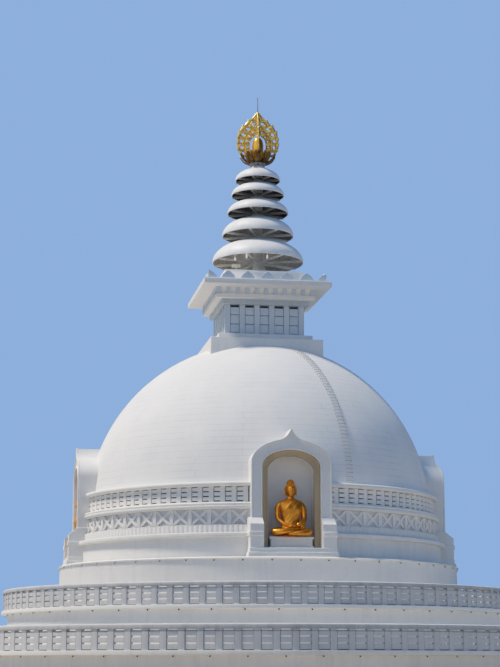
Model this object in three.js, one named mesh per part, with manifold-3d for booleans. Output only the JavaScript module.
// A masonry stupa: two round railed terraces, a banded drum and dome with four arched niches,
// a square railing house under a cornice, five parasols on a mast and a gilded finial.
// Millimetres, +Z up. The origin is on the ground under the axis, and the front niche looks along -Y.
import * as THREE from 'three';
import { mergeVertices } from 'three/addons/utils/BufferGeometryUtils.js';
import Module from 'manifold-3d';

const wasm = await Module();
wasm.setup();

// Driving dimensions
const seam = 0.3;                       // open joint between pieces that touch
const quarterTurn = Math.PI / 2;
const facets = 40;                      // flats round each revolved mass

const lowerTerrace = { wall: 18400, ledge: 18740, wallTop: 2090, top: 2340 };
const upperTerrace = { wall: 15300, ledge: 15640, wallTop: 4540, top: 4750 };
const lowerRailing = {
  outer: 18660, inner: 18360, panel: 18560, posts: 120, post: 360, top: 3690, coping: 280, firstPost: -0.70,
};
const upperRailing = {
  outer: 15560, inner: 15280, panel: 15470, posts: 108, post: 330, top: 5970, coping: 235, firstPost: -0.50,
};                                       // firstPost is the angle of a post near the front, in degrees
const railingParts = 6;                 // lengths that each round railing is cast in
const copingOverhang = 30;

const plinth = { radius: 12200, lip: 12320, lipBottom: 7330, lipRise: 40, top: 7450 };
const drum = {
  wall: { radius: 11250, top: 8570 },
  ledge: { radius: 11500, top: 8840, friezeRadius: 11180, friezeTop: 9260 },
  crossBand: { radius: 11000, top: 10150, mouldingRadius: 11180, mouldingTop: 10550 },
  slitBand: { radius: 10880, top: 11440 },
  ring: { radius: 11120, roll: 100, top: 11710 },
};
const dome = { radius: 10590, centre: 10840, rings: 8, flatRadius: 3300 };

const niche = {
  halfWidth: 2270, front: 11350, back: 9600, springing: 12720, archRise: 1320, tip: 14660,
  shoulderX: 700, curlX: 200, curlZ: 14110, sill: 7950, stepTop: 7700, stepOut: 100,
};
const nicheFoot = { halfWidth: 2440, front: 11850, back: 10600, shoulder: 9250, top: 9650 };
const archBand = { halfWidth: 1660, springing: 12500, rise: 950, depth: 250 };
const recess = { halfWidth: 1330, springing: 12250, rise: 850, backWall: 10050 };
const pedestal = { halfWidth: 1250, depth: 1300, top: 8600 };
const figure = {
  seat: 8600, centre: 10950, kneeHalf: 1180, legDepth: 560, legRise: 330, hip: 560, waist: 440,
  shoulder: 660, shoulderRise: 1950, neck: 210, torsoDepth: 0.62, headRadius: 330, headRise: 2640, knot: 170,
};

const harmika = {
  socket: 20000, plinthWidth: 7000, plinthTop: 21300, stepWidth: 5900, stepTop: 21650,
  width: 5000, top: 23565, posts: 6, post: 350, recess: 110,
};
const entablature = { lowWidth: 5450, lowTop: 23865, highWidth: 6200, top: 24145 };
const dentils = { width: 6260, top: 24540, count: 11, tooth: 270, recess: 150 };
const cornice = { width: 7960, top: 24930 };
const merlon = { height: 520, halfWidth: 420, thickness: 160, inset: 290, perSide: 6 };
const podium = { bottomWidth: 5400, topWidth: 4900, top: 25800 };

const mast = { radius: 315, footRadius: 480, footTop: 26700, top: 33100 };
const parasols = [
  { name: 'parasol_1', radius: 1450, equator: 32300, rise: 800 },
  { name: 'parasol_2', radius: 1700, equator: 31300, rise: 850 },
  { name: 'parasol_3', radius: 1960, equator: 30100, rise: 950 },
  { name: 'parasol_4', radius: 2290, equator: 28600, rise: 1250 },
  { name: 'parasol_5', radius: 2910, equator: 26850, rise: 1500 },
];
const shell = { thickness: 90, lip: 40, sides: 18, spokes: 8, spokeWidth: 110, spokeHeight: 140 };

const neck = { foot: 410, radius: 540, top: 33460 };
const lotus = { foot: 550, rim: 1160, floor: 33640, floorRadius: 850, top: 34060, wall: 130, sides: 20 };
const jewel = { radius: 365, foot: 200, top: 35230, sides: 16 };
const vane = { halfWidth: 1390, tip: 37000, foot: 34090, leg: 800, thickness: 140, holeHalf: 505, holeTop: 35360 };
const finialTurn = -6.4 * Math.PI / 180; // the finial stands slightly off the building's axes
const rod = { radius: 26, top: 38000, bedded: 100, sides: 8 };

// Finishes
const whitePaint = new THREE.MeshStandardMaterial({ color: '#e6e7ea', roughness: 0.75, metalness: 0 });
const ochrePaint = new THREE.MeshStandardMaterial({ color: '#d9cdb8', roughness: 0.8, metalness: 0 });
const gold = new THREE.MeshStandardMaterial({ color: '#c9962f', roughness: 0.35, metalness: 1 });
const greySteel = new THREE.MeshStandardMaterial({ color: '#7d8187', roughness: 0.5, metalness: 0.8 });

// Solids
function toSolid(geometry) {
  const bare = geometry.clone();
  bare.deleteAttribute('normal');
  bare.deleteAttribute('uv');
  const merged = mergeVertices(bare, 1e-3);
  const triVerts = new Uint32Array(merged.index.array);
  const vertProperties = merged.attributes.position.array;
  return new wasm.Manifold(new wasm.Mesh({ numProp: 3, vertProperties, triVerts }));
}

function toGeometry(solid) {
  const mesh = solid.getMesh();
  const geometry = new THREE.BufferGeometry();
  geometry.setAttribute('position', new THREE.BufferAttribute(mesh.vertProperties, 3));
  geometry.setIndex(new THREE.BufferAttribute(mesh.triVerts, 1));
  geometry.computeVertexNormals();
  return geometry;
}

function cut(geometry, tools) {
  return toGeometry(tools.reduce((solid, tool) => solid.subtract(toSolid(tool)), toSolid(geometry)));
}

function join(geometries) {
  return toGeometry(geometries.map(toSolid).reduce((sum, solid) => sum.add(solid)));
}

// Basic forms, all with +Z up
function revolve(profile, sides = facets) {
  const points = profile.map(([radius, z]) => new THREE.Vector2(radius, z));
  return new THREE.LatheGeometry(points, sides).rotateX(quarterTurn);
}

function squareBlock(width, bottom, top) {
  return new THREE.BoxGeometry(width, width, top - bottom).translate(0, 0, (top + bottom) / 2);
}

function riser(points, bottom, top) {
  const shape = new THREE.Shape(points.map(([x, y]) => new THREE.Vector2(x, y)));
  return new THREE.ExtrudeGeometry(shape, { depth: top - bottom, bevelEnabled: false }).translate(0, 0, bottom);
}

// An outline in x and z, carried along Y from the nearer y to the farther one
function wallPlate(points, nearY, farY) {
  const shape = new THREE.Shape(points.map(([x, z]) => new THREE.Vector2(x, z)));
  const plate = new THREE.ExtrudeGeometry(shape, { depth: farY - nearY, bevelEnabled: false });
  return plate.rotateX(quarterTurn).translate(0, farY, 0);
}

function mirrored(rightSide) {
  const left = rightSide.filter(([x]) => x > 0).map(([x, z]) => [-x, z]);
  return rightSide.concat(left.reverse());
}

// Terraces and their railings
function terrace(spec, bottom) {
  return revolve([
    [0, bottom], [spec.wall, bottom], [spec.wall, spec.wallTop], [spec.ledge, spec.wallTop],
    [spec.ledge, spec.top], [0, spec.top],
  ]);
}

function polar(radius, angle) {
  return [radius * Math.sin(angle), -radius * Math.cos(angle)];
}

// One length of railing: posts with thin panels between them, under a continuous coping
function railingLength(spec, bottom, part) {
  const bays = spec.posts / railingParts;
  const pitch = 2 * Math.PI / spec.posts;
  const half = spec.post / 2 / spec.outer;
  const first = part * bays * pitch + spec.firstPost * Math.PI / 180;
  const last = first + bays * pitch - half - seam / spec.inner;
  const face = [];
  const bends = [];                     // the coping and the inner face bend at every second post
  for (let bay = 0; bay < bays; bay += 1) {
    const post = first + bay * pitch;
    const next = bay === bays - 1 ? last : post + pitch - half;
    face.push(polar(spec.outer, post - half), polar(spec.outer, post + half));
    face.push(polar(spec.panel, post + half), polar(spec.panel, next));
    if (bay % 2 === 0) bends.push(bay === 0 ? post - half : post);
  }
  bends.push(last);
  const ring = (radius) => bends.map((angle) => polar(radius, angle));
  const posts = riser(face.concat(ring(spec.inner).reverse()), bottom + seam, spec.top - spec.coping);
  const copingPlan = ring(spec.outer + copingOverhang).concat(ring(spec.inner - copingOverhang).reverse());
  return join([posts, riser(copingPlan, spec.top - spec.coping, spec.top)]);
}

// Niches: the outline grows by a little to cut the seat that a niche stands in
function nicheOutline(grow = 0) {
  const right = [[niche.halfWidth + grow, plinth.top + seam - grow], [niche.halfWidth + grow, niche.springing]];
  const lastAngle = Math.acos(niche.shoulderX / niche.halfWidth);
  const arcSteps = 5;
  for (let step = 1; step <= arcSteps; step += 1) {
    const angle = lastAngle * step / arcSteps;
    const x = niche.halfWidth * Math.cos(angle) + grow;
    right.push([x, niche.springing + niche.archRise * Math.sin(angle) + grow]);
  }
  const [startX, startZ] = right[right.length - 1];
  const curlSteps = 3;
  for (let step = 1; step < curlSteps; step += 1) {
    const t = step / curlSteps;
    const x = (1 - t) * (1 - t) * startX + 2 * t * (1 - t) * (niche.curlX + grow);
    const z = (1 - t) * (1 - t) * startZ + 2 * t * (1 - t) * (niche.curlZ + grow) + t * t * (niche.tip + grow);
    right.push([x, z]);
  }
  right.push([0, niche.tip + 3 * grow]);
  return mirrored(right);
}

function archOutline(arch, bottom) {
  const right = [[arch.halfWidth, bottom]];
  const steps = 6;
  for (let step = 0; step <= steps; step += 1) {
    const angle = quarterTurn * step / steps;
    const x = step === steps ? 0 : arch.halfWidth * Math.cos(angle);
    right.push([x, arch.springing + arch.rise * Math.sin(angle)]);
  }
  return mirrored(right);
}

// The broader foot of a niche: its side view, with a sloping shoulder, carried across the niche's width
function footBlock(grow = 0) {
  const low = plinth.top + seam - grow;
  const side = [
    [-nicheFoot.front - grow, low], [-nicheFoot.back + grow, low], [-nicheFoot.back + grow, nicheFoot.top + grow],
    [-niche.front, nicheFoot.top + grow], [-nicheFoot.front - grow, nicheFoot.shoulder + grow],
  ];
  const shape = new THREE.Shape(side.map(([y, z]) => new THREE.Vector2(y, z)));
  const halfWidth = nicheFoot.halfWidth + grow;
  const block = new THREE.ExtrudeGeometry(shape, { depth: 2 * halfWidth, bevelEnabled: false });
  return block.rotateX(quarterTurn).rotateZ(quarterTurn).translate(-halfWidth, 0, 0);
}

function nicheBody() {
  const body = wallPlate(nicheOutline(), -niche.front, -niche.back);
  const stepWidth = 2 * (nicheFoot.halfWidth + niche.stepOut);
  const stepHeight = niche.stepTop - plinth.top - seam;
  const stepDepth = 600;
  const step = new THREE.BoxGeometry(stepWidth, stepDepth, stepHeight);
  step.translate(0, -nicheFoot.front - niche.stepOut + stepDepth / 2, niche.stepTop - stepHeight / 2);
  const beyond = -nicheFoot.front - 500;
  const band = wallPlate(archOutline(archBand, niche.sill), beyond, -niche.front + archBand.depth);
  const hollow = wallPlate(archOutline(recess, niche.sill), beyond, -recess.backWall);
  const seat = new THREE.BoxGeometry(2 * pedestal.halfWidth, pedestal.depth, pedestal.top - niche.sill + 50);
  seat.translate(0, -recess.backWall - pedestal.depth / 2 + 50, (pedestal.top + niche.sill - 50) / 2);
  const whole = toSolid(body).add(toSolid(footBlock())).add(toSolid(step));
  const carved = whole.subtract(toSolid(band)).subtract(toSolid(hollow));
  return toGeometry(carved.add(toSolid(seat)));
}

function nicheSeats() {
  const seatTool = wallPlate(nicheOutline(seam), -niche.front - 1000, -niche.back + seam);
  const tools = [seatTool, footBlock(seam)];
  return [0, 1, 2, 3].flatMap((side) => tools.map((tool) => tool.clone().rotateZ(side * quarterTurn)));
}

// A calm seated form: crossed legs, torso, head and top knot
function seatedFigure() {
  const at = (x, y, z) => [x, -figure.centre + y, figure.seat + seam + z];
  const legs = new THREE.SphereGeometry(1, 12, 6).rotateX(quarterTurn);
  legs.scale(figure.kneeHalf, figure.legDepth, figure.legRise).translate(...at(0, -90, figure.legRise * 0.85));
  const torso = revolve([
    [0, 100], [figure.hip, 100], [figure.waist, 900], [figure.shoulder, figure.shoulderRise - 150],
    [figure.neck, figure.shoulderRise + 150], [figure.neck, figure.headRise - 200], [0, figure.headRise - 200],
  ], 10);
  torso.scale(1, figure.torsoDepth, 1).translate(...at(0, 60, 0));
  const head = new THREE.SphereGeometry(figure.headRadius, 10, 5).rotateX(quarterTurn);
  head.scale(0.86, 0.95, 1.12).translate(...at(0, 20, figure.headRise));
  const knot = new THREE.SphereGeometry(figure.knot, 8, 4).rotateX(quarterTurn);
  knot.translate(...at(0, 50, figure.headRise + figure.headRadius * 1.1));
  const arms = [-1, 1].map((side) => {
    const arm = new THREE.SphereGeometry(1, 6, 4).rotateX(quarterTurn).scale(190, 230, 720);
    return arm.rotateY(-side * 0.12).translate(...at(side * 650, 0, 1230));
  });
  const underSeat = new THREE.BoxGeometry(4000, 3000, 1000).translate(...at(0, 0, -500));
  return cut(join([legs, torso, head, knot, ...arms]), [underSeat]);
}

// Square house with a toothed plan: posts with shallow recesses between them
function toothedSquare(width, count, tooth, depth) {
  const half = width / 2;
  const pitch = (width - tooth) / (count - 1);
  const side = [];
  for (let gap = 0; gap < count - 1; gap += 1) {
    const from = -half + tooth + gap * pitch;
    const to = from + pitch - tooth;
    side.push([from, -half], [from, -half + depth], [to, -half + depth], [to, -half]);
  }
  const corner = [[-half, -half], ...side];
  const turns = [([x, y]) => [x, y], ([x, y]) => [-y, x], ([x, y]) => [-x, -y], ([x, y]) => [y, -x]];
  return turns.flatMap((turn) => corner.map(turn));
}

// Cornice slab with a row of round-shouldered merlons along each edge
function merlonLobe(fromX, toX) {
  const lobe = (x) => merlon.height * Math.pow(Math.max(0, 1 - Math.abs(x) / merlon.halfWidth), 0.6);
  const stations = [-1, -0.6, 0, 0.6, 1].map((share) => share * merlon.halfWidth);
  const kept = stations.filter((x) => x >= fromX && x <= toX);
  const top = kept.map((x) => [x, lobe(x)]).reverse();
  const base = [[kept[0], -20], [kept[kept.length - 1], -20]];
  return base.concat(top.filter(([, z]) => z > 0));
}

function corniceSlab() {
  const slab = squareBlock(cornice.width, dentils.top + seam, cornice.top);
  const face = cornice.width / 2 - merlon.inset;
  const pitch = 2 * face / merlon.perSide;
  const lobes = [];
  for (let place = 0; place <= merlon.perSide; place += 1) {
    const fromX = place === 0 ? 0 : -merlon.halfWidth;
    const toX = place === merlon.perSide ? 0 : merlon.halfWidth;
    const lobe = wallPlate(merlonLobe(fromX, toX), -face, -face + merlon.thickness);
    lobes.push(lobe.translate(-face + place * pitch, 0, cornice.top));
  }
  const all = [0, 1, 2, 3].flatMap((side) => lobes.map((lobe) => lobe.clone().rotateZ(side * quarterTurn)));
  return join([slab, ...all]);
}

function podiumBlock() {
  const block = squareBlock(1, cornice.top + seam, podium.top);
  const position = block.attributes.position;
  for (let i = 0; i < position.count; i += 1) {
    const width = position.getZ(i) > podium.top - 1 ? podium.topWidth : podium.bottomWidth;
    position.setX(i, position.getX(i) * width);
    position.setY(i, position.getY(i) * width);
  }
  return block;
}

// A parasol: a thin domed shell with a lip that curls in, and spokes to the mast
function parasolShell(spec) {
  const bore = mast.radius + seam;
  const outer = [];
  const inner = [];
  const steps = 4;
  const innerRadius = spec.radius - shell.thickness;
  const innerRise = spec.rise - shell.thickness;
  for (let step = 0; step <= steps; step += 1) {
    const turn = step / steps;
    const outerAngle = turn * Math.acos(bore / spec.radius);
    const innerAngle = turn * Math.acos(bore / innerRadius);
    const z = spec.equator + spec.rise * Math.sin(outerAngle);
    outer.push([step === steps ? bore : spec.radius * Math.cos(outerAngle), z]);
    const innerX = step === steps ? bore : innerRadius * Math.cos(innerAngle);
    inner.push([innerX, spec.equator + innerRise * Math.sin(innerAngle)]);
  }
  const lip = [
    [spec.radius - shell.lip, spec.equator - shell.lip],
    [spec.radius - shell.lip * 0.3, spec.equator - shell.lip * 0.75],
  ];
  const profile = [...lip, ...outer, ...inner.reverse()];
  return revolve([...profile, profile[0]], shell.sides);
}

function parasol(spec) {
  const from = mast.radius + seam;
  const to = spec.radius - shell.thickness / 2;
  const spokes = [];
  for (let index = 0; index < shell.spokes; index += 1) {
    const spoke = new THREE.BoxGeometry(to - from, shell.spokeWidth, shell.spokeHeight);
    spoke.translate((from + to) / 2, 0, spec.equator - 10);
    spokes.push(spoke.rotateZ((index + 0.5) * 2 * Math.PI / shell.spokes));
  }
  return join([parasolShell(spec), ...spokes]);
}

// Finial: lotus bowl, jewel and a cross of flame vanes
function lotusBowl() {
  return revolve([
    [0, neck.top + seam], [lotus.foot, neck.top + seam], [lotus.foot * 1.5, neck.top + 110],
    [lotus.rim * 0.92, neck.top + 350], [lotus.rim, lotus.top], [lotus.rim - lotus.wall, lotus.top],
    [lotus.floorRadius, lotus.floor], [0, lotus.floor],
  ], lotus.sides);
}

function jewelEgg() {
  const rise = jewel.top - lotus.floor;
  const stations = [[0.15, 0.8], [0.35, 0.95], [0.58, 1], [0.76, 0.86], [0.9, 0.58]];
  const sides = stations.map(([up, out]) => [jewel.radius * out, lotus.floor + rise * up]);
  const foot = [[0, lotus.floor + seam], [jewel.foot, lotus.floor + seam]];
  return revolve([...foot, ...sides, [0, jewel.top]], jewel.sides);
}

function vaneOutline() {
  const up = (share) => vane.foot + (vane.tip - vane.foot) * share;
  const wide = vane.halfWidth;
  return mirrored([
    [vane.leg, lotus.floor + seam], [wide * 0.66, up(0)], [wide * 0.98, up(0.08)], [wide, up(0.3)],
    [wide * 0.9, up(0.55)], [wide * 0.7, up(0.68)], [wide * 0.47, up(0.81)], [wide * 0.17, up(0.94)],
    [0, vane.tip],
  ]);
}

function vaneHole() {
  const rise = vane.holeTop - vane.foot;
  const side = [[0.78, -0.45], [1, 0.25], [0.9, 0.6], [0.55, 0.88]];
  const right = side.map(([out, up]) => [vane.holeHalf * out, vane.foot + rise * up]);
  return mirrored([...right, [0, vane.holeTop]]);
}

function flameVanes() {
  const half = vane.thickness / 2;
  const plate = wallPlate(vaneOutline(), -half, half);
  const hole = wallPlate(vaneHole(), -vane.holeHalf, vane.holeHalf);
  const pierced = cut(plate, [hole]);
  const crossing = toSolid(pierced.clone().rotateZ(quarterTurn));
  const bore = rod.radius + seam;
  const socket = new THREE.CylinderGeometry(bore, bore, 2 * rod.bedded, rod.sides);
  socket.rotateX(quarterTurn).translate(0, 0, vane.tip);
  return toGeometry(toSolid(pierced).add(crossing).subtract(toSolid(socket)));
}

// Assembly
const stupa = new THREE.Group();

function add(name, geometry, material = whitePaint, parent = stupa) {
  const mesh = new THREE.Mesh(geometry, material);
  mesh.name = name;
  parent.add(mesh);
  return mesh;
}

add('lower_terrace', terrace(lowerTerrace, 0));
add('upper_terrace', terrace(upperTerrace, lowerTerrace.top + seam));
for (let part = 0; part < railingParts; part += 1) {
  add(`lower_railing_${part + 1}`, railingLength(lowerRailing, lowerTerrace.top, part));
  add(`upper_railing_${part + 1}`, railingLength(upperRailing, upperTerrace.top, part));
}

const seats = nicheSeats();
const drumParts = {
  drum_plinth: [
    [0, upperTerrace.top + seam], [plinth.radius, upperTerrace.top + seam], [plinth.radius, plinth.lipBottom],
    [plinth.lip, plinth.lipBottom + plinth.lipRise], [plinth.lip, plinth.top], [0, plinth.top],
  ],
  drum_wall: [
    [0, plinth.top + seam], [drum.wall.radius, plinth.top + seam], [drum.wall.radius, drum.wall.top],
    [0, drum.wall.top],
  ],
  petal_ledge: [
    [0, drum.wall.top + seam], [drum.ledge.radius, drum.wall.top + seam], [drum.ledge.radius, drum.ledge.top],
    [drum.ledge.friezeRadius, drum.ledge.top], [drum.ledge.friezeRadius, drum.ledge.friezeTop],
    [0, drum.ledge.friezeTop],
  ],
  cross_panel_band: [
    [0, drum.ledge.friezeTop + seam], [drum.crossBand.radius, drum.ledge.friezeTop + seam],
    [drum.crossBand.radius, drum.crossBand.top], [drum.crossBand.mouldingRadius, drum.crossBand.top],
    [drum.crossBand.mouldingRadius, drum.crossBand.mouldingTop], [0, drum.crossBand.mouldingTop],
  ],
  blind_railing_band: [
    [0, drum.crossBand.mouldingTop + seam], [drum.slitBand.radius, drum.crossBand.mouldingTop + seam],
    [drum.slitBand.radius, drum.slitBand.top], [0, drum.slitBand.top],
  ],
  dome_ring: [
    [0, drum.slitBand.top + seam], [drum.ring.radius - drum.ring.roll, drum.slitBand.top + seam],
    [drum.ring.radius, (drum.slitBand.top + drum.ring.top) / 2],
    [drum.ring.radius - drum.ring.roll, drum.ring.top], [0, drum.ring.top],
  ],
};
for (const [name, profile] of Object.entries(drumParts)) {
  const mass = revolve(profile);
  add(name, name === 'drum_plinth' ? mass : cut(mass, seats));
}

const domeProfile = [[0, drum.ring.top + seam]];
const domeStart = Math.asin((drum.ring.top + seam - dome.centre) / dome.radius);
const domeEnd = Math.acos(dome.flatRadius / dome.radius);
for (let ring = 0; ring <= dome.rings; ring += 1) {
  const angle = domeStart + (domeEnd - domeStart) * ring / dome.rings;
  domeProfile.push([dome.radius * Math.cos(angle), dome.centre + dome.radius * Math.sin(angle)]);
}
domeProfile.push([0, dome.centre + dome.radius * Math.sin(domeEnd)]);
const houseSocket = squareBlock(harmika.plinthWidth + 2 * seam, harmika.socket, harmika.plinthTop);
add('dome', cut(revolve(domeProfile), [...seats, houseSocket]));

['front', 'right', 'back', 'left'].forEach((side, index) => {
  const group = new THREE.Group();
  group.rotation.z = index * quarterTurn;
  stupa.add(group);
  add(`niche_${side}`, nicheBody(), ochrePaint, group);
  add(`figure_${side}`, seatedFigure(), gold, group);
});

add('harmika_plinth', squareBlock(harmika.plinthWidth, harmika.socket + seam, harmika.plinthTop));
add('harmika_step', squareBlock(harmika.stepWidth, harmika.plinthTop + seam, harmika.stepTop));
const housePlan = toothedSquare(harmika.width, harmika.posts, harmika.post, harmika.recess);
add('harmika_body', riser(housePlan, harmika.stepTop + seam, harmika.top));
add('architrave', join([
  squareBlock(entablature.lowWidth, harmika.top + seam, entablature.lowTop),
  squareBlock(entablature.highWidth, entablature.lowTop, entablature.top),
]));
const dentilPlan = toothedSquare(dentils.width, dentils.count, dentils.tooth, dentils.recess);
add('dentil_course', riser(dentilPlan, entablature.top + seam, dentils.top));
add('cornice', corniceSlab());
add('podium', podiumBlock());

add('mast', revolve([
  [0, podium.top + seam], [mast.footRadius, podium.top + seam], [mast.radius, mast.footTop],
  [mast.radius, mast.top], [0, mast.top],
], shell.sides));
parasols.forEach((spec) => add(spec.name, parasol(spec)));

const finial = new THREE.Group();
finial.rotation.z = finialTurn;
stupa.add(finial);
add('finial_neck', revolve([
  [0, mast.top + seam], [neck.foot, mast.top + seam], [neck.radius, neck.top], [0, neck.top],
], lotus.sides), greySteel, finial);
add('lotus_bowl', lotusBowl(), gold, finial);
add('jewel', jewelEgg(), gold, finial);
add('flame_vanes', flameVanes(), gold, finial);
const rodFoot = vane.tip - rod.bedded;
add('lightning_rod', revolve([
  [0, rodFoot + seam], [rod.radius, rodFoot + seam], [rod.radius, rod.top], [0, rod.top],
], rod.sides), greySteel, finial);

export default stupa;
